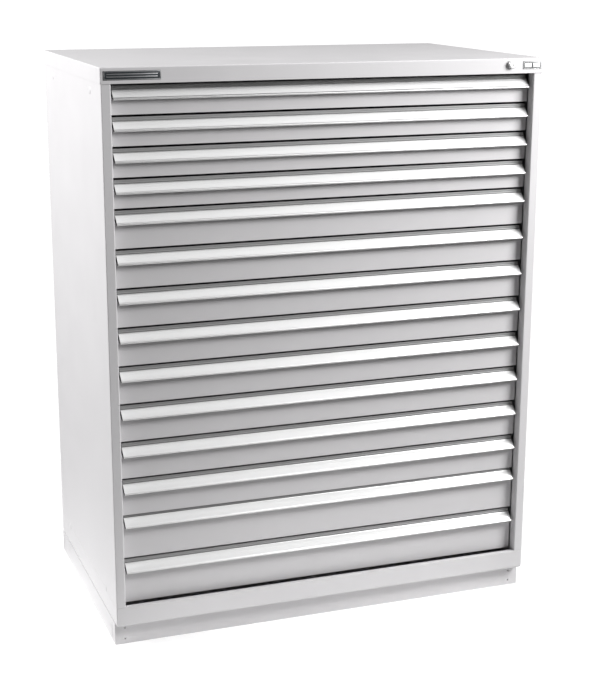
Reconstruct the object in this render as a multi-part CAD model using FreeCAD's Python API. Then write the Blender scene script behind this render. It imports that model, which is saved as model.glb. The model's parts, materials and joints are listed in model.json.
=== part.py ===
"""Stationary modular drawer cabinet in folded sheet steel: a housing on a low base, fourteen
full-width drawers on roller carriages, an extruded label handle on each drawer, and a key lock
that moves one bar with a lug for each drawer.

Millimetres, +Z up, +X to the right seen from the front, +Y to the back.
The origin is on the floor, under the middle of the whole object's box."""
import FreeCAD, Part
import math
import os
from FreeCAD import Vector

# Driving dimensions of the housing
cabinet_width = 1194.0
cabinet_depth = 724.0
drawer_heights = [76.5] * 4 + [100.5] * 8 + [118.5, 125.0]  # top drawer first
base_height = 61.5
base_recess = 28.5
pan_height = 53.3
cap_height = 39.5
stile_width = 25.3
stile_return = 28.0
sheet = 1.5
base_sheet = 2.0
bend = 3.0
pan_bend = 6.0
pan_rim_bend = 1.4     # along its top, where the side panels stand on it
pan_ledge = 13.0       # top flange of the pan in front
seat_flange = 20.0
panel_foot_rise = 0.9  # open joint along the foot of the side panels
panel_foot_depth = 0.8
cap_seam_inset = 36.0  # closed corner seam on the cap's sides, from the front
cap_seam_width = 0.8
cap_seam_depth = 0.5
lap_gap = 0.2          # between the cap's skirts and the panels inside them
stack_gap_top = 0.4    # over the top drawer
stack_gap_bottom = 2.8  # under the bottom drawer

# Holes for fastening to the outside
gang_hole_radius = 7.0
gang_hole_inset = 124.5     # from the cap's front and back edges
gang_hole_drop = 24.0       # below the cap's skirt
gang_hole_rise = 8.5        # above the pan
base_hole_radius = 2.5
base_hole_inset = 29.0      # from the cap's side
base_hole_levels = (14.0, 44.5)
access_slot_width = 22.0
access_slot_height = 42.0
access_slot_inset = 10.0
access_slot_level = 9.0

# Drawers
face_recess = 28.0          # drawer face behind the stiles
face_side_gap = 2.5
face_depth = 18.0
face_bottom_return = 10.0
tray_lift = 6.0             # tray floor above the bottom of its space
tray_headroom = 12.0        # tray wall below the top of its space
tray_back_gap = 26.0
tray_rim = 6.0

# Handles
handle_end_gap = 6.5        # handle end to stile
handle_gap = 6.0            # above a handle
close_handle_gap = 0.8      # above the handle of the drawer named next
close_handle_drawer = 13
close_handle_trim = 2.5     # cut from the top of that handle's strip
handle_height = 33.7
handle_reach = 19.0         # in front of the drawer's face
grip_recess = 6.0           # step back of the face behind a handle
grip_height = 26.6
handle_strip = 2.0
handle_strip_height = 8.6
face_above_handle = 2.0     # handle top over the face's top edge

# Slides
plate_side_gap = 2.7        # carriage plate to the side of the opening
post_width = 40.0
post_inset = 70.0
post_slot_pitch = 25.4
post_slot_width = 16.0
post_slot_height = 6.0
roller_radius = 12.0
roller_width = 12.0
roller_end_gap = 0.5
roller_clearance = 0.3
roller_bore_clearance = 0.05
axle_radius = 3.0
carriage_plate = 3.0
carriage_height = 22.0
rail_tip_gap = 0.6
rail_rise = 24.0            # rail centre above the bottom of its drawer's space
rail_front = 60.0           # from the front of the cap
rail_back_gap = 34.0
drawer_over_travel = 10.0   # drawer travel more than the length of a rail

# Lock
lock_reach = 9.5
lock_from_right = 95.5
lock_below_top = 15.5
lock_bezel_radius = 11.0
lock_bezel_step = 2.5
lock_barrel_radius = 9.0
lock_barrel_length = 43.0
lock_hole_clearance = 0.2
lock_plug_radius = 6.0
lock_plug_clearance = 0.05
lock_plug_relief = 0.3      # between the barrel's end and the cam
key_slot_width = 2.0
key_slot_depth = 8.0
cam_radius = 12.0
cam_thickness = 3.0
cam_pin_radius = 2.5
cam_throw = 8.0
cam_pin_play = 2.2
cam_pin_length = 9.0
bar_thickness = 3.0
bar_width = 12.0
bar_arm_height = 18.0
lug_height = 6.0
lug_reach = 13.0
lug_rise = 52.0             # lug above the bottom of its drawer's space, unlocked
lock_tab_rise = 42.0
lock_tab_height = 8.0
lock_tab_gap = 3.0
lock_tab_side_gap = 4.0

# Plates and screws
plate_thickness = 1.2
name_plate_size = (142.0, 22.0)
name_plate_left = 8.4
badge_size = (54.0, 20.0)
badge_right = 7.4
plates_below_top = 8.8
screw_radius = 2.4
screw_head_radius = 4.5
screw_head_height = 1.5
screw_length = 8.0
screw_rows = 7
screw_edge = 60.0

# Worked out from the sizes above
half_width = cabinet_width / 2
front = (lock_reach - cabinet_depth) / 2
back = front + cabinet_depth
inset = sheet + lap_gap
half_body = half_width - inset
body_front = front + inset
body_back = back - inset
pan_top = base_height + pan_height
opening_top = pan_top + stack_gap_bottom + sum(drawer_heights) + stack_gap_top
top = opening_top + cap_height
half_opening = half_body - stile_width
side_inner = half_body - sheet
face_front = body_front + face_recess
half_face = half_opening - face_side_gap
half_handle = half_opening - handle_end_gap
plate_outer = half_opening - plate_side_gap
outer_roller_end = plate_outer + roller_end_gap + roller_width
rail_web = outer_roller_end + roller_end_gap
post_depth = side_inner - rail_web - sheet
plate_inner = plate_outer - carriage_plate
inner_roller_end = plate_inner - roller_end_gap - roller_width
half_tray = inner_roller_end - roller_end_gap - sheet
channel_half = roller_radius + roller_clearance
tray_front = face_front + face_depth
tray_back = back - tray_back_gap
rail_start = front + rail_front
rail_end = back - rail_back_gap
drawer_travel = rail_end - rail_start + drawer_over_travel
lock_x = half_width - lock_from_right
lock_z = top - lock_below_top
bar_front = front + lock_barrel_length + cam_thickness + cam_pin_length / 2
bar_x = half_opening + 5.0
RIGHT, LEFT = 1, -1


def drawer_spaces():
    """Bottom and top of each drawer's space, top drawer first."""
    level = opening_top - stack_gap_top
    spaces = []
    for height in drawer_heights:
        spaces.append((level - height, level))
        level -= height
    return spaces


def box(x0, x1, y0, y1, z0, z1):
    low = Vector(min(x0, x1), min(y0, y1), min(z0, z1))
    return Part.makeBox(abs(x1 - x0), abs(y1 - y0), abs(z1 - z0), low)


def cylinder_y(x, z, y0, y1, radius):
    return Part.makeCylinder(radius, y1 - y0, Vector(x, y0, z), Vector(0, 1, 0))


def cylinder_x(y, z, x0, x1, radius):
    return Part.makeCylinder(radius, abs(x1 - x0), Vector(min(x0, x1), y, z), Vector(1, 0, 0))


def fused(pieces):
    return pieces[0].fuse(pieces[1:]).removeSplitter()


def mirrored(shape):
    return shape.mirror(Vector(0, 0, 0), Vector(1, 0, 0))


def rounded_outline(corners):
    """Closed wire through (point, radius) corners, with a tangent arc at each radius."""
    edges = []
    ends = []
    count = len(corners)
    for i, (point, radius) in enumerate(corners):
        to_last = (corners[i - 1][0] - point).normalize()
        to_next = (corners[(i + 1) % count][0] - point).normalize()
        if radius == 0:
            ends.append((point, point))
            continue
        half_angle = to_last.getAngle(to_next) / 2
        cut_back = radius / math.tan(half_angle)
        bisector = (to_last + to_next).normalize()
        middle = point + bisector * (radius / math.sin(half_angle) - radius)
        start = point + to_last * cut_back
        end = point + to_next * cut_back
        edges.append(Part.Arc(start, middle, end).toShape())
        ends.append((start, end))
    for i in range(count):
        start = ends[i][1]
        end = ends[(i + 1) % count][0]
        edges.append(Part.LineSegment(start, end).toShape())
    return Part.Wire(Part.__sortEdges__(edges))


def folded_strip(path, thickness, radius, direction):
    """Sheet folded along a path of points, all folds one way, its thickness to the left."""
    inner = []
    count = len(path)
    for i, point in enumerate(path):
        before = (point - path[i - 1]).normalize() if i > 0 else None
        after = (path[i + 1] - point).normalize() if i < count - 1 else None
        shift = Vector(0, 0, 0)
        for side in (before, after):
            if side is not None:
                shift += Vector(-side.y, side.x, 0) * thickness
        inner.append(point + shift)
    folds = [0] + [radius] * (count - 2) + [0]
    inner_folds = [0] + [radius - thickness] * (count - 2) + [0]
    corners = list(zip(path, folds)) + list(zip(reversed(inner), reversed(inner_folds)))
    return Part.Face(rounded_outline(corners)).extrude(direction)


def folded_lid(half_x, y0, y1, z0, z1, top_bend, inner_bend, rim_bend):
    """Sheet lid: a skin on top with skirts down on all four sides, bends all round."""
    outside = box(-half_x, half_x, y0, y1, z0, z1)
    outside = outside.makeFillet(bend, [e for e in outside.Edges if e.BoundBox.ZLength > 1])
    outside = outside.makeFillet(top_bend, [e for e in outside.Edges if e.BoundBox.ZMin > z1 - 1])
    if rim_bend > 0:
        rim = [e for e in outside.Edges if e.BoundBox.ZMax < z0 + 1]
        outside = outside.makeFillet(rim_bend, rim)
    inside = box(sheet - half_x, half_x - sheet, y0 + sheet, y1 - sheet, z0, z1 - sheet)
    upright = [e for e in inside.Edges if e.BoundBox.ZLength > 1]
    inside = inside.makeFillet(bend - sheet, upright)
    if inner_bend > 0:
        folds = [e for e in inside.Edges if e.BoundBox.ZMin > z1 - sheet - 1]
        inside = inside.makeFillet(inner_bend, folds)
    return outside.cut(inside)


def make_top_cap():
    cap = folded_lid(half_width, front, back, opening_top, top, bend, 0, 0)
    hole = lock_barrel_radius + lock_hole_clearance
    cap = cap.cut(cylinder_y(lock_x, lock_z, front - 1, front + sheet + 1, hole))
    seam = front + cap_seam_inset
    for side in (LEFT, RIGHT):
        cap = cap.cut(box(side * (half_width - cap_seam_depth), side * (half_width + 1),
                          seam, seam + cap_seam_width, opening_top - 1, top - bend))
    return cap


def make_side_panel():
    """Right panel: stile and its return in front, flange behind, seats at top and bottom. Its
    foot is set back from the skin, which leaves an open joint above the pan."""
    stile_edge = body_front + stile_return
    rear = body_back - sheet
    seat_top = top - sheet
    path = [Vector(half_opening, stile_edge, pan_top), Vector(half_opening, body_front, pan_top),
            Vector(half_body, body_front, pan_top), Vector(half_body, rear, pan_top),
            Vector(half_opening, rear, pan_top)]
    panel = folded_strip(path, sheet, bend, Vector(0, 0, seat_top - pan_top))
    seat = half_body - sheet - seat_flange
    seat_front = body_front + bend + sheet
    seat_back = rear - bend - sheet
    seats = [box(seat, side_inner + sheet / 2, seat_front, seat_back, z, z + sheet)
             for z in (pan_top, seat_top - sheet)]
    panel = fused([panel] + seats)
    foot = pan_top + panel_foot_rise
    panel = panel.cut(box(half_body - panel_foot_depth, half_body + 1, front, back,
                          pan_top - 1, foot))
    panel = panel.cut(box(half_opening - 1, half_body + 1, front,
                          body_front + panel_foot_depth, pan_top - 1, foot))
    for y in (front + gang_hole_inset, back - gang_hole_inset):
        for z in (opening_top - gang_hole_drop, pan_top + gang_hole_rise):
            panel = panel.cut(cylinder_x(y, z, side_inner - 1, half_body + 1, gang_hole_radius))
    for x, z in screw_places(RIGHT):
        panel = panel.cut(cylinder_y(x, z, rear - sheet - 1, rear + 1, screw_radius))
    return panel


def make_back_panel():
    panel = box(bend - half_body, half_body - bend, body_back - sheet, body_back,
                pan_top, top - sheet)
    for x, z in screw_places(LEFT) + screw_places(RIGHT):
        panel = panel.cut(cylinder_y(x, z, body_back - sheet - 1, body_back + 1, screw_radius))
    return panel


def screw_places(side):
    span = opening_top - pan_top - 2 * screw_edge
    x = side * (half_opening + stile_width / 2)
    return [(x, pan_top + screw_edge + span * i / (screw_rows - 1)) for i in range(screw_rows)]


def make_panel_screws():
    screws = []
    for x, z in screw_places(LEFT) + screw_places(RIGHT):
        shank = cylinder_y(x, z, body_back - screw_length, body_back, screw_radius)
        head = cylinder_y(x, z, body_back, body_back + screw_head_height, screw_head_radius)
        outer_rim = [e for e in head.Edges if e.BoundBox.YMin > body_back + 1]
        screws.append(shank.fuse(head.makeFillet(screw_head_height / 2, outer_rim)))
    return Part.makeCompound(screws)


def make_bottom_pan():
    """Shallow tray with its bends at the bottom and flanges turned in along its top."""
    middle = (base_height + pan_top) / 2
    pan = folded_lid(half_body, body_front, body_back, base_height, pan_top, pan_bend,
                     pan_bend - sheet, pan_rim_bend)
    pan = pan.mirror(Vector(0, 0, middle), Vector(0, 0, 1))
    flange = seat_flange + sheet
    z0 = pan_top - sheet
    rims = [box(-side_inner, side_inner, body_front + sheet / 2, body_front + pan_ledge, z0, pan_top),
            box(-side_inner, side_inner, body_back - flange, body_back - sheet / 2, z0, pan_top)]
    for side in (LEFT, RIGHT):
        rims.append(box(side * (half_body - flange), side * (half_body - sheet / 2),
                        body_front + bend, body_back - bend, z0, pan_top))
    return fused([pan] + rims)


def make_base_front_plate():
    y0 = front + base_recess
    plate = box(-half_body, half_body, y0, y0 + base_sheet, 0, base_height)
    half_lip = half_body - seat_flange
    lips = [box(-half_lip, half_lip, y0 + base_sheet / 2, y0 + seat_flange, z, z + base_sheet)
            for z in (0, base_height - base_sheet)]
    plate = fused([plate] + lips)
    for side in (LEFT, RIGHT):
        x = side * (half_width - base_hole_inset)
        for z in base_hole_levels:
            plate = plate.cut(cylinder_y(x, z, y0 - 1, y0 + base_sheet + 1, base_hole_radius))
    return plate


def make_base_side_rail():
    """Right rail: a channel with its flanges inwards and an access slot at each end."""
    y0 = front + base_recess + base_sheet
    web = box(half_body - base_sheet, half_body, y0, body_back, 0, base_height)
    flange = half_body - seat_flange
    lips = [box(flange, half_body - base_sheet / 2, y0, body_back - base_sheet, z, z + base_sheet)
            for z in (0, base_height - base_sheet)]
    rail = fused([web] + lips)
    for slot_y in (y0 + access_slot_inset, body_back - access_slot_inset - access_slot_width):
        rail = rail.cut(box(half_body - base_sheet - 1, half_body + 1, slot_y,
                            slot_y + access_slot_width, access_slot_level,
                            access_slot_level + access_slot_height))
    return rail


def make_base_rear_rail():
    half_rail = half_body - base_sheet
    web = box(-half_rail, half_rail, body_back - base_sheet, body_back, 0, base_height)
    inner = half_body - seat_flange
    lip = box(-inner, inner, body_back - seat_flange, body_back - base_sheet / 2, 0, base_sheet)
    return fused([web, lip])


def make_post(y0):
    """Right upright: a channel open to the side panel, slotted at a regular pitch."""
    z0 = pan_top + sheet
    z1 = top - 2 * sheet
    x0 = side_inner - post_depth
    outline = [Vector(x0, y0, z0), Vector(x0, y0 + post_width, z0),
               Vector(x0, y0 + post_width, z1), Vector(x0, y0, z1)]
    holes = []
    slot_y = y0 + (post_width - post_slot_width) / 2
    slot_count = int((opening_top - pan_top - post_slot_pitch) / post_slot_pitch)
    for i in range(slot_count):
        low = pan_top + post_slot_pitch * (i + 1)
        slot = [Vector(x0, slot_y, low), Vector(x0, slot_y + post_slot_width, low),
                Vector(x0, slot_y + post_slot_width, low + post_slot_height),
                Vector(x0, slot_y, low + post_slot_height)]
        holes.append(Part.makePolygon(slot + slot[:1]))
    web = Part.Face([Part.makePolygon(outline + outline[:1])] + holes)
    web = web.extrude(Vector(sheet, 0, 0))
    flanges = [box(x0, side_inner, y, y + sheet, z0, z1) for y in (y0, y0 + post_width - sheet)]
    return fused([web] + flanges)


def channel(web_x, tip_x, y0, y1, z):
    """Roller channel: its web at web_x, its two flanges reaching to tip_x."""
    outward = 1 if web_x > tip_x else -1
    web = box(web_x, web_x + outward * sheet, y0, y1, z - channel_half - sheet,
              z + channel_half + sheet)
    flanges = [box(tip_x, web_x, y0, y1, z + s * channel_half, z + s * (channel_half + sheet))
               for s in (-1, 1)]
    return fused([web] + flanges)


def make_fixed_rails():
    rails = []
    for bottom, space_top in drawer_spaces():
        rail = channel(rail_web, plate_outer + rail_tip_gap, rail_start, rail_end,
                       bottom + rail_rise)
        rails += [rail, mirrored(rail)]
    return Part.makeCompound(rails)


def make_carriage(bottom):
    """Two plates with axles, and two rollers on each side of each plate. The rollers in the
    fixed rails are behind and those in the drawer's channels in front, so that both pairs stay
    in their channels at full travel."""
    z = bottom + rail_rise
    half_travel = drawer_travel / 2
    edge = roller_radius + 5
    outer_y = (rail_start + half_travel + edge, rail_end - edge)
    inner_y = (rail_start + edge, rail_end - half_travel - edge)
    plate = box(plate_inner, plate_outer, rail_start, rail_end,
                z - carriage_height / 2, z + carriage_height / 2)
    rollers = []
    bore = axle_radius + roller_bore_clearance
    spots = [(y, plate_outer, plate_outer + roller_end_gap) for y in outer_y]
    spots += [(y, plate_inner, inner_roller_end) for y in inner_y]
    for y, root, roller_start in spots:
        roller_end = roller_start + roller_width
        tip = roller_start if root == plate_inner else roller_end
        plate = plate.fuse(cylinder_x(y, z, root, tip, axle_radius))
        roller = cylinder_x(y, z, roller_start, roller_end, roller_radius)
        rollers.append(roller.cut(cylinder_x(y, z, roller_start, roller_end, bore)))
    right = [plate.removeSplitter()] + rollers
    return Part.makeCompound(right + [mirrored(s) for s in right])


def handle_level(number, space_top):
    """Height from which the handle's section is drawn down."""
    if number == close_handle_drawer:
        return space_top - close_handle_gap + close_handle_trim
    return space_top - handle_gap


def handle_top(number, space_top):
    level = handle_level(number, space_top)
    return level - close_handle_trim if number == close_handle_drawer else level


def make_drawer(number, bottom, space_top):
    """Drawer body: boxed front that steps back behind the handle, tray with rims, roller
    channels and the tab for the lock."""
    face_top = handle_top(number, space_top) - face_above_handle
    step = handle_level(number, space_top) - grip_height
    wall_top = space_top - tray_headroom
    floor = bottom + tray_lift
    face = box(-half_face, half_face, face_front, tray_front, bottom, step)
    upright = [e for e in face.Edges
               if e.BoundBox.ZLength > 1 and e.BoundBox.YMax < tray_front - 1]
    face = face.makeFillet(sheet, upright)
    hollow = box(sheet - half_face, half_face - sheet, face_front + sheet, tray_front + 1,
                 bottom + sheet, step - sheet)
    gap = box(sheet - half_face, half_face - sheet, face_front + face_bottom_return,
              tray_front + 1, bottom - 1, bottom + sheet + 1)
    grip_wall = face_front + grip_recess
    open_back = box(sheet - half_face, half_face - sheet, grip_wall + sheet, tray_front + 1,
                    step - sheet - 1, step + 1)
    inner = half_tray - sheet
    parts = [face.cut(hollow).cut(gap).cut(open_back)]
    parts.append(box(-half_handle, half_handle, grip_wall, grip_wall + sheet,
                     step - sheet, face_top))
    parts.append(box(-half_handle, half_handle, grip_wall, tray_front, face_top - sheet, face_top))
    parts.append(box(-half_tray, half_tray, tray_front - sheet, tray_front, floor, face_top))
    parts.append(box(-half_tray, half_tray, tray_front - sheet, tray_back, floor, floor + sheet))
    parts.append(box(-half_tray, half_tray, tray_back - sheet, tray_back, floor, wall_top))
    parts.append(box(-half_tray, half_tray, tray_back - sheet, tray_back + tray_rim,
                     wall_top - sheet, wall_top))
    for side in (LEFT, RIGHT):
        parts.append(box(side * inner, side * half_tray, tray_front - sheet, tray_back,
                         floor, wall_top))
        parts.append(box(side * inner, side * (half_tray + tray_rim), tray_front, tray_back,
                         wall_top - sheet, wall_top))
        rail = channel(half_tray + sheet, plate_inner - rail_tip_gap, rail_start, rail_end,
                       bottom + rail_rise)
        parts.append(rail if side == RIGHT else mirrored(rail))
    tab_y = bar_front + bar_thickness + lock_tab_gap
    parts.append(box(half_tray - sheet / 2, half_opening - lock_tab_side_gap, tab_y,
                     tab_y + 2 * sheet, bottom + lock_tab_rise,
                     bottom + lock_tab_rise + lock_tab_height))
    return fused(parts)


def make_handle(number, space_top):
    """Extruded handle: a flat strip on the step of the face, then a label channel that slopes
    forward between two small lips, and a rounded grip edge over an open finger hollow."""
    level = handle_level(number, space_top)
    strip_top = level - handle_top(number, space_top)

    def at(reach, drop):
        return Vector(-half_handle, face_front - reach, level - drop)

    wall = 2.0
    lip = 0.9
    lip_length = 2.0
    back_face = -grip_recess
    strip_face = handle_strip - grip_recess
    slope_start = Vector(strip_face + 1.0, handle_strip_height + 2.0, 0)
    slope_end = Vector(handle_reach - 2.5, handle_height - 4.5, 0)
    along = (slope_end - slope_start).normalize()
    outward = Vector(along.y, -along.x, 0)

    def on_slope(base, distance, lift):
        point = base + along * distance + outward * lift
        return at(point.x, point.y)

    middle_bulge = 0.6
    floor_start = on_slope(slope_start, lip_length, 0)
    floor_end = on_slope(slope_end, -lip_length, 0)
    span = (slope_end - slope_start).Length
    floor_middle = on_slope(slope_start, span / 2, middle_bulge)
    before = [at(back_face, strip_top), at(strip_face, strip_top),
              at(strip_face, handle_strip_height),
              at(strip_face - 0.8, handle_strip_height + 0.5),
              at(strip_face, handle_strip_height + 1.0),
              on_slope(slope_start, 0, lip), on_slope(slope_start, lip_length, lip), floor_start]
    after = [floor_end, on_slope(slope_end, -lip_length, lip), on_slope(slope_end, 0, lip),
             at(handle_reach - 0.6, handle_height - 3.0), at(handle_reach, handle_height - 1.5),
             at(handle_reach - 0.6, handle_height - 0.3), at(handle_reach - 1.8, handle_height),
             at(handle_reach - 2.9, handle_height - 0.8), on_slope(slope_end, 1.0, -wall),
             on_slope(slope_start, 3.0, -wall), at(back_face, handle_strip_height + 8.0),
             at(back_face, strip_top)]
    edges = [Part.makePolygon(before), Part.Arc(floor_start, floor_middle, floor_end).toShape(),
             Part.makePolygon(after)]
    outline = Part.Wire([e for shape in edges for e in shape.Edges])
    return Part.Face(outline).extrude(Vector(2 * half_handle, 0, 0))


def make_lock_body():
    bezel_front = front - lock_reach + lock_plug_clearance
    bezel = cylinder_y(lock_x, lock_z, bezel_front, front, lock_bezel_radius)
    rim = [e for e in bezel.Edges if e.BoundBox.YMax < front - 1]
    bezel = bezel.makeFillet(lock_bezel_step, rim)
    barrel = cylinder_y(lock_x, lock_z, front, front + lock_barrel_length, lock_barrel_radius)
    bore = cylinder_y(lock_x, lock_z, bezel_front - 1, front + lock_barrel_length + 1,
                      lock_plug_radius + lock_plug_clearance)
    return bezel.fuse(barrel).removeSplitter().cut(bore)


def make_lock_plug():
    plug = cylinder_y(lock_x, lock_z, front - lock_reach,
                      front + lock_barrel_length + lock_plug_relief, lock_plug_radius)
    slot = box(lock_x - key_slot_width / 2, lock_x + key_slot_width / 2,
               front - lock_reach - 1, front - lock_reach + key_slot_depth,
               lock_z - lock_plug_radius + 1, lock_z + 1)
    return plug.cut(slot)


def make_lock_cam():
    """Disc on the end of the plug, with its pin to the left while the lock is open."""
    y0 = front + lock_barrel_length + lock_plug_relief
    disc = cylinder_y(lock_x, lock_z, y0, y0 + cam_thickness, cam_radius)
    pin = cylinder_y(lock_x - cam_throw, lock_z, y0 + cam_thickness,
                     y0 + cam_thickness + cam_pin_length, cam_pin_radius)
    return fused([disc, pin])


def make_lock_bar():
    """Upright bar behind the right stile with a lug for each drawer. Its arm reaches the cam,
    whose pin works in a level slot and lowers the bar as the plug turns."""
    y1 = bar_front + bar_thickness
    arm_bottom = lock_z - bar_arm_height / 2
    arm_top = lock_z + bar_arm_height / 2
    play = cam_pin_radius + cam_pin_play
    arm_end = lock_x - cam_throw - play - 4
    spaces = drawer_spaces()
    bar_bottom = spaces[-1][0] + lug_rise - 15
    pieces = [box(bar_x, bar_x + bar_width, bar_front, y1, bar_bottom, arm_top),
              box(arm_end, bar_x + bar_width, bar_front, y1, arm_bottom, arm_top)]
    for bottom, space_top in spaces:
        low = bottom + lug_rise
        pieces.append(box(bar_x - lug_reach, bar_x + 1, bar_front, y1, low, low + lug_height))
    slot = box(lock_x - cam_throw - play, lock_x + play, bar_front - 1, y1 + 1,
               lock_z - play, lock_z + play)
    return fused(pieces).cut(slot)


def make_plate(x0, size):
    z1 = top - plates_below_top
    plate = box(x0, x0 + size[0], front - plate_thickness, front, z1 - size[1], z1)
    upright = [e for e in plate.Edges if e.BoundBox.YLength > plate_thickness / 2]
    return plate.makeFillet(1.5, upright)


nodes = {
    "top_cap": make_top_cap(),
    "right_side_panel": make_side_panel(),
    "left_side_panel": mirrored(make_side_panel()),
    "back_panel": make_back_panel(),
    "panel_screws": make_panel_screws(),
    "bottom_pan": make_bottom_pan(),
    "base_front_plate": make_base_front_plate(),
    "base_side_rails": Part.makeCompound([make_base_side_rail(), mirrored(make_base_side_rail())]),
    "base_rear_rail": make_base_rear_rail(),
    "fixed_rails": make_fixed_rails(),
    "lock_body": make_lock_body(),
    "lock_plug": make_lock_plug(),
    "lock_cam": make_lock_cam(),
    "lock_bar": make_lock_bar(),
    "name_plate": make_plate(name_plate_left - half_width, name_plate_size),
    "badge_plate": make_plate(half_width - badge_right - badge_size[0], badge_size),
}
post_places = {"front_posts": front + post_inset, "rear_posts": back - post_inset - post_width}
for name, y in post_places.items():
    post = make_post(y)
    nodes[name] = Part.makeCompound([post, mirrored(post)])
for number, (bottom, space_top) in enumerate(drawer_spaces(), start=1):
    nodes["drawer_%02d" % number] = make_drawer(number, bottom, space_top)
    nodes["handle_%02d" % number] = make_handle(number, space_top)
    nodes["carriage_%02d" % number] = make_carriage(bottom)

os.makedirs("parts", exist_ok=True)
for name, shape in nodes.items():
    shape.exportStep("parts/%s.step" % name)
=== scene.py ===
"""Visual model of a steel drawer cabinet for a workshop: fourteen full-width drawers with
extruded label handles, in a folded housing on a low base. The sections follow the cabinet as
it is put together, from the base up."""
import json
import math

import bmesh
import bpy
from mathutils import Matrix, Vector


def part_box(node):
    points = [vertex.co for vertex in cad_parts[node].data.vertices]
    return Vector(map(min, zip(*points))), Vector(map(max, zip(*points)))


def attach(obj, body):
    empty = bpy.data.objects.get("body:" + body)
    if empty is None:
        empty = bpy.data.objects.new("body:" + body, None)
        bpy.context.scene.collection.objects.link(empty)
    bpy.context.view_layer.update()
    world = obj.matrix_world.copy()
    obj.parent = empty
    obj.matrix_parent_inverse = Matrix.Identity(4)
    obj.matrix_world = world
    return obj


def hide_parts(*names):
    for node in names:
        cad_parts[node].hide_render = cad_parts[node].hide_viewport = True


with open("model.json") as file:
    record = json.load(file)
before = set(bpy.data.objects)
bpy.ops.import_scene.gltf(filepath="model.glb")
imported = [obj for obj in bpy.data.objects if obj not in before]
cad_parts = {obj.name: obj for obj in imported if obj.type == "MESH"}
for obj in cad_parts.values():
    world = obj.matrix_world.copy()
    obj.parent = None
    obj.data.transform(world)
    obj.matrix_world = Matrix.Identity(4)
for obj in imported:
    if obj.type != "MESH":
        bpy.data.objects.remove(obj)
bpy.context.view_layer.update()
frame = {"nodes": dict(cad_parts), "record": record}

nodes = frame["nodes"]
scene = bpy.context.scene

# ---------------------------------------------------------------------------------------------
# Base: a front plate, two side rails and a rear rail, folded from 2 mm sheet and spot welded,
# with pressed covers in the side rails' access slots. It wears a light grey powder coat like the
# housing's: baked on, slightly pebbled, with faint scuffs from years of boots and trolleys.


class Wire:
    """An output of a node in one material. Arithmetic on wires adds Math nodes."""

    def __init__(self, tree, socket):
        self.tree = tree
        self.socket = socket

    def feed(self, target, inputs):
        for name, value in inputs.items():
            if isinstance(value, Wire):
                self.tree.links.new(value.socket, target.inputs[name])
            else:
                target.inputs[name].default_value = value

    def node(self, kind, settings, inputs, output=0):
        """Adds a node, sets it up, feeds its inputs and returns one of its outputs."""
        added = self.tree.nodes.new(kind)
        for name, value in settings.items():
            if name == "stops":
                for element, (position, shade) in zip(added.color_ramp.elements, value):
                    element.position = position
                    element.color = (shade, shade, shade, 1)
            else:
                setattr(added, name, value)
        self.feed(added, inputs)
        return Wire(self.tree, added.outputs[output])

    def math(self, operation, first, second):
        return self.node("ShaderNodeMath", {"operation": operation}, {0: first, 1: second})

    def __add__(self, other):
        return self.math("ADD", self, other)

    def __sub__(self, other):
        return self.math("SUBTRACT", self, other)

    def __rsub__(self, other):
        return self.math("SUBTRACT", other, self)

    def __mul__(self, other):
        return self.math("MULTIPLY", self, other)

    __radd__ = __add__
    __rmul__ = __mul__


def start_finish(name):
    """A new material, and a wire with the Object coordinates that its patterns read."""
    made = bpy.data.materials.new(name)
    made.use_nodes = True
    coordinates = made.node_tree.nodes.new("ShaderNodeTexCoord")
    return made, Wire(made.node_tree, coordinates.outputs["Object"])


def noise(place, scale, detail=2.0, roughness=0.5):
    return place.node("ShaderNodeTexNoise", {},
                      {"Vector": place, "Scale": scale, "Detail": detail, "Roughness": roughness})


def stretched(place, scale):
    return place.node("ShaderNodeMapping", {}, {"Vector": place, "Scale": scale})


def step_up(value, start, end):
    """0 below start and 1 above end, even in between."""
    return value.node("ShaderNodeValToRGB", {"stops": [(start, 0), (end, 1)]}, {"Fac": value})


def between(factor, first, second):
    """A colour that goes from first to second with the factor."""
    return factor.node("ShaderNodeMix", {"data_type": "RGBA"},
                       {0: factor, 6: (*first, 1), 7: (*second, 1)}, output=2)


def bump(height, strength, distance):
    return height.node("ShaderNodeBump", {},
                       {"Height": height, "Strength": strength, "Distance": distance})


def finish_with(made, place, inputs):
    place.feed(made.node_tree.nodes["Principled BSDF"], inputs)
    return made


def make_powder_coat(name, light, dark, scuffed):
    """Powder coat: fine pebbles, broad waves of the sheet, and fine scratches where scuffed."""
    made, place = start_finish(name)
    pebbles = noise(place, 850, detail=1.5)
    sheet_waves = noise(place, 4.5, detail=1)
    patches = noise(place, 9, detail=3, roughness=0.6)
    scratches = step_up(noise(stretched(place, (14, 14, 420)), 1, detail=3), 0.66, 0.72)
    wear = scuffed * scratches * step_up(noise(place, 3.2, detail=2), 0.48, 0.7)
    return finish_with(made, place, {
        "Base Color": between(0.65 * patches + 0.35 * pebbles - 0.5 * wear, dark, light),
        "Roughness": 0.36 + 0.10 * patches + 0.06 * pebbles + 0.12 * wear,
        "Normal": bump(0.35 * pebbles + 1.4 * sheet_waves, 0.3, 0.0004),
    })


def dress(names, material):
    """Gives CAD nodes their finish."""
    for name in names:
        nodes[name].data.materials.clear()
        nodes[name].data.materials.append(material)


def linked_object(name, shape, material):
    """Turns a bmesh into a named object with its finish, smooth but for its sharper edges."""
    bmesh.ops.recalc_face_normals(shape, faces=shape.faces[:])
    mesh = bpy.data.meshes.new(name)
    shape.to_mesh(mesh)
    shape.free()
    for face in mesh.polygons:
        face.use_smooth = True
    mesh.set_sharp_from_angle(angle=smooth_below)
    mesh.materials.append(material)
    made = bpy.data.objects.new(name, mesh)
    scene.collection.objects.link(made)
    return made


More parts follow.
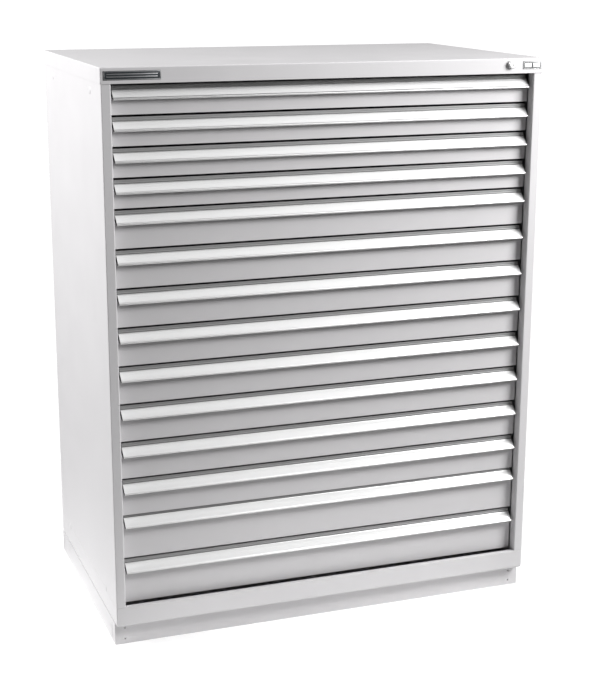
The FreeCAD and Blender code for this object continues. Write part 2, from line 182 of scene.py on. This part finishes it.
def add_cover(shape, side, y0):
    """A pressed cover with eased edges, set into the slot whose front edge is at y0."""
    made = bmesh.ops.create_cube(shape, size=1)["verts"]
    x = side * (rail_high.x - cover_inset - cover_sheet / 2)
    bmesh.ops.scale(shape, verts=made, vec=(cover_sheet, slot_width - 2 * cover_gap,
                                            slot_height - 2 * cover_gap))
    bmesh.ops.translate(shape, verts=made,
                        vec=(x, y0 + slot_width / 2, slot_level + slot_height / 2))
    edges = [e for e in shape.edges if all(v in made for v in e.verts)]
    bmesh.ops.bevel(shape, geom=edges, affect="EDGES", offset=cover_easing, segments=2,
                    profile=0.5, material=-1)


LEFT, RIGHT = -1, 1
smooth_below = math.radians(35)
slot_width = 0.022
slot_height = 0.042
slot_inset = 0.010
slot_level = 0.009
cover_gap = 0.0005
cover_inset = 0.0004
cover_sheet = 0.0012
cover_easing = 0.0004

base_coat = make_powder_coat("base_coat", (0.655, 0.645, 0.655), (0.58, 0.57, 0.58), 1.0)
dress(["base_front_plate", "base_side_rails", "base_rear_rail"], base_coat)
rail_low, rail_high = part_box("base_side_rails")
covers = bmesh.new()
for side in (LEFT, RIGHT):
    add_cover(covers, side, rail_low.y + slot_inset)
    add_cover(covers, side, rail_high.y - slot_inset - slot_width)
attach(linked_object("base_slot_covers", covers, base_coat), "housing")

# ---------------------------------------------------------------------------------------------
# Bottom pan: one tray of 1.5 mm sheet with wide bends along its bottom and flanges turned in
# along its top, bolted down on the base. It carries both side panels.

housing_coat = make_powder_coat("housing_coat", (0.675, 0.665, 0.675), (0.62, 0.61, 0.62), 0.35)
dress(["bottom_pan"], housing_coat)

# ---------------------------------------------------------------------------------------------
# Side panels: one folded sheet each, with the stile and its return in front. Their four holes
# for bolting cabinets side by side are closed with snap-in plugs, moulded in light grey
# polypropylene, that a thumb presses in and a screwdriver lifts out.

dress(["left_side_panel", "right_side_panel"], housing_coat)

MM_IN_M = 1000
plug_head_radius = 0.0098
plug_dome = 0.0017
plug_dome_steps = 6
plug_rim = 0.0001           # how far the head's rim reaches below the panel's face
plug_shank_radius = 0.0066
plug_shank_taper = 0.94
plug_depth = 0.007
turning_steps = 32


def add_turned(shape, outline, centre, axis):
    """Spins an outline of (along, out) points about an axis through the centre, once round."""
    across = Vector((0, 0, 1))
    line = [shape.verts.new(centre + axis * along + across * out) for along, out in outline]
    edges = [shape.edges.new(pair) for pair in zip(line, line[1:])]
    bmesh.ops.spin(shape, geom=line + edges, cent=centre, axis=axis, dvec=(0, 0, 0),
                   angle=math.tau, steps=turning_steps, use_merge=True, use_duplicate=False)
    bmesh.ops.remove_doubles(shape, verts=shape.verts[:], dist=1e-6)


def hole_centres(side_name):
    """The four gang holes of one side, from the mount that the record states."""
    mount = next(m for m in frame["record"]["mounts"] if m["name"] == side_name + "_gang_holes")
    middle = Vector(mount["pos_m"])
    half_y = mount["dims"]["spacing_x_mm"] / 2 / MM_IN_M
    half_z = mount["dims"]["spacing_y_mm"] / 2 / MM_IN_M
    return [middle + Vector((0, y, z)) for y in (-half_y, half_y) for z in (-half_z, half_z)]


def make_plug_plastic():
    made, place = start_finish("plug_plastic")
    grain = noise(place, 2200, detail=1)
    mottle = noise(place, 160, detail=2)
    return finish_with(made, place, {
        "Base Color": between(mottle, (0.60, 0.59, 0.60), (0.67, 0.66, 0.67)),
        "Roughness": 0.38 + 0.12 * grain,
        "Normal": bump(grain, 0.25, 0.0001),
    })


plug_plastic = make_plug_plastic()
turns = [t * math.pi / 2 / plug_dome_steps for t in range(plug_dome_steps + 1)]
plug_outline = [(plug_dome * math.cos(turn), plug_head_radius * math.sin(turn)) for turn in turns]
plug_outline += [(-plug_rim, plug_head_radius), (-plug_rim, plug_shank_radius),
                 (-plug_depth, plug_shank_radius * plug_shank_taper), (-plug_depth, 0)]
for side, side_name in ((LEFT, "left"), (RIGHT, "right")):
    plugs = bmesh.new()
    for centre in hole_centres(side_name):
        add_turned(plugs, plug_outline, centre, Vector((side, 0, 0)))
    plug_set = linked_object(side_name + "_hole_plugs", plugs, plug_plastic)
    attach(plug_set, "housing")

# ---------------------------------------------------------------------------------------------
# Back panel: a flat sheet screwed to the side panels' rear flanges with seven pan-head screws
# down each side, zinc plated like all the hardware inside.


def make_zinc():
    """Bright zinc: faint spangle, rolling lines along Y, and duller handled patches."""
    made, place = start_finish("zinc_plate")
    spangle = noise(place, 60, detail=3)
    rolling = noise(stretched(place, (900, 6, 900)), 1, detail=2)
    handled = noise(place, 12, detail=2)
    return finish_with(made, place, {
        "Base Color": between(0.6 * spangle + 0.4 * handled, (0.50, 0.52, 0.54),
                              (0.68, 0.69, 0.70)),
        "Metallic": 1.0,
        "Roughness": 0.26 + 0.16 * rolling + 0.10 * handled,
        "Normal": bump(rolling, 0.2, 0.0001),
    })


dress(["back_panel"], housing_coat)
zinc = make_zinc()
dress(["panel_screws"], zinc)

# ---------------------------------------------------------------------------------------------
# Uprights and fixed rails: slotted channels welded inside the side panels, and a roller channel
# hooked into them at each side of every drawer.

dress(["front_posts", "rear_posts", "fixed_rails"], zinc)

# ---------------------------------------------------------------------------------------------
# Carriages: two zinc-plated plates for each drawer, with four rollers on each that run in the
# fixed rail and in the drawer's own channel, so that the drawer comes out its whole depth.

drawer_numbers = range(1, 1 + sum(name.startswith("drawer_") for name in nodes))
dress(["carriage_%02d" % n for n in drawer_numbers], zinc)

# ---------------------------------------------------------------------------------------------
# Drawers: a folded tray behind a boxed front that steps back behind its handle, all spot welded
# and powder coated in one piece.

drawer_coat = make_powder_coat("drawer_coat", (0.655, 0.645, 0.655), (0.60, 0.59, 0.60), 0.5)
dress(["drawer_%02d" % n for n in drawer_numbers], drawer_coat)

# ---------------------------------------------------------------------------------------------
# Handles: an aluminium extrusion across each drawer, with drawn lines along it. Its flat strip has
# a fine groove and a bead, and is painted dark grey and duller as painted shade from the drawer
# above. The sloping channel for the label and the rounded grip edge are bright. A black moulded cap
# closes each end.


def make_drawn_aluminium(name, bright, metallic, smooth):
    made, place = start_finish(name)
    lines = noise(stretched(place, (0.7, 1400, 1400)), 1, detail=2)
    broad = noise(stretched(place, (0.4, 200, 200)), 1, detail=1)
    touched = noise(place, 7, detail=2)
    return finish_with(made, place, {
        "Base Color": between(lines, (bright, bright, bright), (bright + 0.1,) * 3),
        "Metallic": metallic,
        "Roughness": smooth + 0.07 * lines + 0.05 * broad + 0.03 * touched,
        "Normal": bump(lines, 0.06, 0.0001),
    })


def make_black_moulding():
    made, place = start_finish("black_moulding")
    grain = noise(place, 1800, detail=1)
    return finish_with(made, place, {
        "Base Color": between(grain, (0.008, 0.008, 0.009), (0.018, 0.018, 0.019)),
        "Roughness": 0.5 + 0.15 * grain,
    })


# Points of the handle's section are stated as (forward from its back, up from its foot), and
# corners have their rounding as a third number.
end_cap_thickness = 0.0012
strip_thickness = 0.002
strip_foot = 0.0270
strip_rounding = 0.0005
score_level = 0.0288
score_depth = 0.0004        # the fine groove along the strip
score_bottom_half = 0.0006
score_mouth_half = 0.0009
bead_rise = 0.0010
bead_levels = (0.0265, 0.0254)
groove_depth = 0.0006       # under the bead, above the label
groove_levels = (0.0251, 0.0238)
# faces above this level take the strip's painted shade
painted_shade_above = 0.0236
channel_top = (0.003, 0.0231)
channel_bottom = (0.0225, 0.0045)
channel_wall = 0.0018
wall_head = 0.004           # the wall's back starts this far down the channel
wall_foot = 0.001           # and ends this far past its bottom
keeper_rise = 0.0011        # lips that hold the label by its long edges
keeper_length = 0.0022
grip_corners = ((0.0246, 0.0042, 0.0008), (0.025, 0.0022, 0.0010), (0.0235, 0, 0.0009),
                (0.0215, 0.0008, 0.0005))
back_foot = 0.0171
end_cap_step = 0.0241
end_cap_corners = ((0.0248, 0.002, 0.0010), (0.0232, 0, 0.0009), (0.018, 0.003, 0.002),
                   (0, 0.0121, 0.001))


class HandleSection:
    """Section of one handle, placed by the box of its CAD node. Corners are (y, z, rounding)."""

    def __init__(self, number):
        self.low, self.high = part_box("handle_%02d" % number)
        self.strip_top = self.high.z - self.low.z
        self.start = self.at(*channel_top)
        self.end = self.at(*channel_bottom)
        self.along = (self.end - self.start).normalized()
        self.outward = Vector((self.along.y, -self.along.x))

    def at(self, forward, up):
        return Vector((self.high.y - forward, self.low.z + up))

    def corner(self, forward, up, rounding):
        return (*self.at(forward, up), rounding)

    def on_channel(self, base, distance, lift, rounding):
        return (*(base + self.along * distance + self.outward * lift), rounding)


def add_prism(shape, outline, x0, x1):
    """Extrudes an outline of (y, z, rounding) corners from x0 to x1, rounding its corners."""
    corners = [(shape.verts.new((x0, y, z)), rounding) for y, z, rounding in outline]
    shape.faces.new([vert for vert, rounding in corners])
    for vert, rounding in corners:
        if rounding > 0:
            bmesh.ops.bevel(shape, geom=[vert], affect="VERTICES", offset=rounding, segments=4,
                            profile=0.5, material=-1)
    flat = [f for f in shape.faces if all(abs(v.co.x - x0) < 1e-7 for v in f.verts)]
    swept = bmesh.ops.extrude_face_region(shape, geom=flat[-1:])
    moved = [v for v in swept["geom"] if isinstance(v, bmesh.types.BMVert)]
    bmesh.ops.translate(shape, verts=moved, vec=(x1 - x0, 0, 0))


def make_handle(number):
    section = HandleSection(number)
    outline = [
        section.corner(0, section.strip_top, 0),
        section.corner(strip_thickness, section.strip_top, strip_rounding),
        section.corner(strip_thickness, score_level + score_mouth_half, 0.0001),
        section.corner(strip_thickness - score_depth, score_level + score_bottom_half, 0.0001),
        section.corner(strip_thickness - score_depth, score_level - score_bottom_half, 0.0001),
        section.corner(strip_thickness, score_level - score_mouth_half, 0.0001),
        section.corner(strip_thickness, strip_foot, 0.0003)]
    outline += [section.corner(strip_thickness + bead_rise, up, 0.0004) for up in bead_levels]
    outline += [section.corner(strip_thickness - groove_depth, up, 0) for up in groove_levels]
    outline += [
        section.on_channel(section.start, 0, keeper_rise, 0.0005),
        section.on_channel(section.start, keeper_length, keeper_rise, 0.0004),
        section.on_channel(section.start, keeper_length, 0, 0),
        section.on_channel(section.end, -keeper_length, 0, 0),
        section.on_channel(section.end, -keeper_length, keeper_rise, 0.0004),
        section.on_channel(section.end, 0, keeper_rise, 0.0006)]
    outline += [section.corner(*corner) for corner in grip_corners]
    outline += [
        section.on_channel(section.end, wall_foot, -channel_wall, 0.0006),
        section.on_channel(section.start, wall_head, -channel_wall, 0.0010),
        section.corner(0, back_foot, 0)]
    shape = bmesh.new()
    add_prism(shape, outline, section.low.x + end_cap_thickness, section.high.x - end_cap_thickness)
    made = linked_object("handle_extrusion_%02d" % number, shape, grip_aluminium)
    made.data.materials.append(strip_aluminium_painted_shade)
    for face in made.data.polygons:
        # the strip's faces, above this level, take its painted shade
        if face.center.z > section.low.z + painted_shade_above and len(face.vertices) == 4:
            face.material_index = 1
    return made


def make_end_caps(number):
    section = HandleSection(number)
    outline = [
        section.corner(0, section.strip_top, 0.0004),
        section.corner(strip_thickness, section.strip_top, strip_rounding),
        section.corner(strip_thickness, end_cap_step, strip_rounding),
        section.on_channel(section.end, 0, keeper_rise, 0.0008)]
    outline += [section.corner(*corner) for corner in end_cap_corners]
    shape = bmesh.new()
    add_prism(shape, outline, section.low.x, section.low.x + end_cap_thickness)
    add_prism(shape, outline, section.high.x - end_cap_thickness, section.high.x)
    return linked_object("handle_end_caps_%02d" % number, shape, black_moulding)


grip_aluminium = make_drawn_aluminium("grip_aluminium", 0.80, 1.0, 0.38)
# the strip's dark grey, half-metallic finish is painted shade from the drawer above it
strip_aluminium_painted_shade = make_drawn_aluminium("strip_aluminium_painted_shade", 0.28, 0.3, 0.40)
black_moulding = make_black_moulding()
for number in drawer_numbers:
    handle = make_handle(number)
    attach(handle, "drawer_%02d" % number)
    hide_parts("handle_%02d" % number)
    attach(make_end_caps(number), "drawer_%02d" % number)

# ---------------------------------------------------------------------------------------------
# Label strips: blank white card under a bowed clear cover, slid into the handle's channel from
# one end. The cover stands a little proud in the middle, where it catches the light.

cover_bow = 0.0013
cover_edge = 0.0004         # height of the cover's long edges over the channel
cover_side_gap = 0.0002
card_lift = 0.0001
bow_steps = 8


def make_covered_card():
    made, place = start_finish("covered_card")
    fibres = noise(place, 500, detail=3)
    ripple = noise(stretched(place, (30, 3, 3)), 1, detail=1)
    return finish_with(made, place, {
        "Base Color": between(fibres, (0.80, 0.80, 0.80), (0.87, 0.87, 0.87)),
        "Roughness": 0.45 + 0.1 * fibres,
        "Coat Weight": 0.9 + 0.1 * ripple,
        "Coat Roughness": 0.12,
        "Normal": bump(ripple, 0.1, 0.0004),
    })


def make_label(number):
    section = HandleSection(number)
    inset = keeper_length + cover_side_gap
    first = section.start + section.along * inset
    last = section.end - section.along * inset
    shares = [t / bow_steps for t in range(bow_steps + 1)]
    bow = [first.lerp(last, share)
           + section.outward * (cover_edge + cover_bow * math.sin(math.pi * share))
           for share in shares]
    points = [first + section.outward * card_lift] + bow + [last + section.outward * card_lift]
    shape = bmesh.new()
    add_prism(shape, [(*point, 0) for point in points],
              section.low.x + end_cap_thickness, section.high.x - end_cap_thickness)
    return linked_object("label_strip_%02d" % number, shape, covered_card)


covered_card = make_covered_card()
for number in drawer_numbers:
    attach(make_label(number), "drawer_%02d" % number)

# ---------------------------------------------------------------------------------------------
# Top cap: a lid of 1.5 mm sheet, folded down on four sides over the side panels, whose front
# skirt is the rail over the drawers.

dress(["top_cap"], housing_coat)

# ---------------------------------------------------------------------------------------------
# Lock: a satin-chromed cylinder lock through the top rail with its bezel in front. Its plug
# turns a zinc-plated cam, which lowers the bar that blocks all the drawers.


def make_chrome():
    made, place = start_finish("lock_chrome")
    haze = noise(place, 400, detail=2)
    return finish_with(made, place, {
        "Base Color": between(haze, (0.80, 0.80, 0.80), (0.88, 0.88, 0.88)),
        "Metallic": 1.0,
        "Roughness": 0.36 + 0.10 * haze,
    })


chrome = make_chrome()
dress(["lock_body", "lock_plug"], chrome)
dress(["lock_bar", "lock_cam"], zinc)

# ---------------------------------------------------------------------------------------------
# Name plate and badge: dark moulded plates with a raised bright border, glued to the top rail.
# Both are blank: the name plate has two bright pinstripes and the badge two pale panels.

border_inset = 0.0011
border_reach = 0.00242      # inner edge of the border, from the plate's edge
border_rise = 0.0003
plate_easing = 0.0003
border_easing = 0.0002
stripe_levels = (0.36, 0.64)
stripe_inset = 0.008
stripe_half = 0.0012
panel_inset = 0.0045
panel_half_gap = 0.0018


def make_plate_finish():
    made, place = start_finish("dark_plate")
    speckle = noise(place, 700, detail=2)
    return finish_with(made, place, {
        "Base Color": between(speckle, (0.030, 0.035, 0.040), (0.050, 0.056, 0.062)),
        "Roughness": 0.24 + 0.1 * speckle,
    })


def make_bright_foil():
    made, place = start_finish("bright_foil")
    lines = noise(stretched(place, (900, 900, 8)), 1, detail=2)
    return finish_with(made, place, {
        "Base Color": between(lines, (0.55, 0.56, 0.57), (0.72, 0.72, 0.73)),
        "Metallic": 1.0,
        "Roughness": 0.32 + 0.12 * lines,
    })


def add_block(shape, x0, x1, y0, y1, z0, z1, easing):
    """A block whose front edges are eased."""
    made = bmesh.ops.create_cube(shape, size=1)["verts"]
    bmesh.ops.scale(shape, verts=made, vec=(x1 - x0, y1 - y0, z1 - z0))
    bmesh.ops.translate(shape, verts=made, vec=((x0 + x1) / 2, (y0 + y1) / 2, (z0 + z1) / 2))
    front_edges = [e for e in shape.edges if all(v in made for v in e.verts)
                   and all(v.co.y < y0 + 1e-7 for v in e.verts)]
    bmesh.ops.bevel(shape, geom=front_edges, affect="EDGES", offset=easing, segments=2,
                    profile=0.5, material=-1)


def add_raised(shape, low, x0, x1, z0, z1):
    """A block that stands out of a plate by the border's rise."""
    add_block(shape, x0, x1, low.y, low.y + 2 * border_rise, z0, z1, border_easing)


def make_plate(node_name, plate_name):
    """Adds the plate. Returns its CAD node's box, and a shape that has its raised border."""
    low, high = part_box(node_name)
    shape = bmesh.new()
    add_block(shape, low.x, high.x, low.y + border_rise, high.y, low.z, high.z, plate_easing)
    plate = linked_object(plate_name, shape, dark_plate)
    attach(plate, "housing")
    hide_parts(node_name)
    raised = bmesh.new()
    for x0, x1, z0, z1 in (
            (low.x + border_inset, high.x - border_inset,
             low.z + border_inset, low.z + border_reach),
            (low.x + border_inset, high.x - border_inset,
             high.z - border_reach, high.z - border_inset),
            (low.x + border_inset, low.x + border_reach,
             low.z + border_reach, high.z - border_reach),
            (high.x - border_reach, high.x - border_inset,
             low.z + border_reach, high.z - border_reach)):
        add_raised(raised, low, x0, x1, z0, z1)
    return low, high, raised


dark_plate = make_plate_finish()
bright_foil = make_bright_foil()
low, high, stripes = make_plate("name_plate", "name_plate_moulding")
for share in stripe_levels:
    middle = low.z + share * (high.z - low.z)
    add_raised(stripes, low, low.x + stripe_inset, high.x - stripe_inset,
               middle - stripe_half, middle + stripe_half)
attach(linked_object("name_plate_stripes", stripes, bright_foil), "housing")
low, high, panels = make_plate("badge_plate", "badge_moulding")
middle = (low.x + high.x) / 2
for x0, x1 in ((low.x + panel_inset, middle - panel_half_gap),
               (middle + panel_half_gap, high.x - panel_inset)):
    add_raised(panels, low, x0, x1, low.z + panel_inset, high.z - panel_inset)
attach(linked_object("badge_panels", panels, covered_card), "housing")

# ---------------------------------------------------------------------------------------------
# Studio: a white floor that thins out into a white surround, a soft key light high at the right
# in front, one at the left behind the line of the front, a broad one overhead, and the camera
# 1.77 m up, in front of the left corner.

floor_half_size = 30
floor_reach = 4             # distances over the floor are taken as shares of this
thinning = (0.62, 0.74)     # between these distances the paper thins out,
vanishing = (0.8, 1.6)      # and between these it vanishes


def make_floor():
    """Floor paper, solid under the cabinet and gone a little way around it."""
    shape = bmesh.new()
    bmesh.ops.create_grid(shape, x_segments=1, y_segments=1, size=floor_half_size)
    mesh = bpy.data.meshes.new("studio_floor")
    shape.to_mesh(mesh)
    shape.free()
    floor = bpy.data.objects.new("studio_floor", mesh)
    scene.collection.objects.link(floor)
    made, place = start_finish("studio_paper")
    tone = noise(place, 0.7, detail=1)
    away = place.node("ShaderNodeVectorMath", {"operation": "LENGTH"}, {0: place}, output=1)
    share = 1 / floor_reach * away
    outside = step_up(share, *(distance / floor_reach for distance in thinning))
    far = step_up(share, *(distance / floor_reach for distance in vanishing))
    finish_with(made, place, {
        "Base Color": between(tone, (0.93, 0.93, 0.93), (0.95, 0.95, 0.95)),
        "Roughness": 0.9,
        "Emission Color": (1, 1, 1, 1),
        "Emission Strength": 0.15,
        "Alpha": 1.0 - 0.4 * outside - 0.6 * far,
    })
    mesh.materials.append(made)


def add_light(name, place, target, size, power):
    """A soft panel light that faces the target."""
    lamp = bpy.data.lights.new(name, "AREA")
    lamp.shape = "RECTANGLE"
    lamp.size, lamp.size_y = size
    lamp.energy = power
    holder = bpy.data.objects.new(name, lamp)
    holder.location = place
    aim = Vector(target) - Vector(place)
    holder.rotation_euler = aim.to_track_quat("-Z", "Y").to_euler()
    scene.collection.objects.link(holder)


make_floor()
add_light("key_panel", (2.0, -1.8, 2.3), (0.1, -0.3, 0.8), (1.1, 1.1), 110)
add_light("left_panel", (-3.2, 0.5, 2.6), (-0.6, 0, 1.0), (1.6, 1.6), 165)
add_light("top_panel", (0.3, -0.3, 3.9), (0.3, -0.3, 1.0), (5.0, 4.0), 42)

surround = bpy.data.worlds.new("studio_surround")
surround.use_nodes = True
sky = surround.node_tree.nodes["Background"]
ray_kinds = surround.node_tree.nodes.new("ShaderNodeLightPath")
seen = Wire(surround.node_tree, ray_kinds.outputs["Is Camera Ray"])
seen.feed(sky, {"Color": (1, 1, 1, 1), "Strength": 0.1 + 1.0 * seen})
scene.world = surround
scene.view_settings.view_transform = "Standard"

camera_place = Vector((-1.3634, -3.8619, 1.7651))
camera_turn = -19.968    # degrees from straight ahead, negative to the right
camera_tilt = -14.568
camera_roll = 0.154
camera_data = bpy.data.cameras.new("camera")
camera_data.lens = 77.87
camera_data.sensor_width = 36
camera = bpy.data.objects.new("camera", camera_data)
camera.matrix_world = (Matrix.Translation(camera_place)
                       @ Matrix.Rotation(math.radians(camera_turn), 4, "Z")
                       @ Matrix.Rotation(math.radians(90 + camera_tilt), 4, "X")
                       @ Matrix.Rotation(math.radians(camera_roll), 4, "Z"))
scene.collection.objects.link(camera)
scene.camera = camera
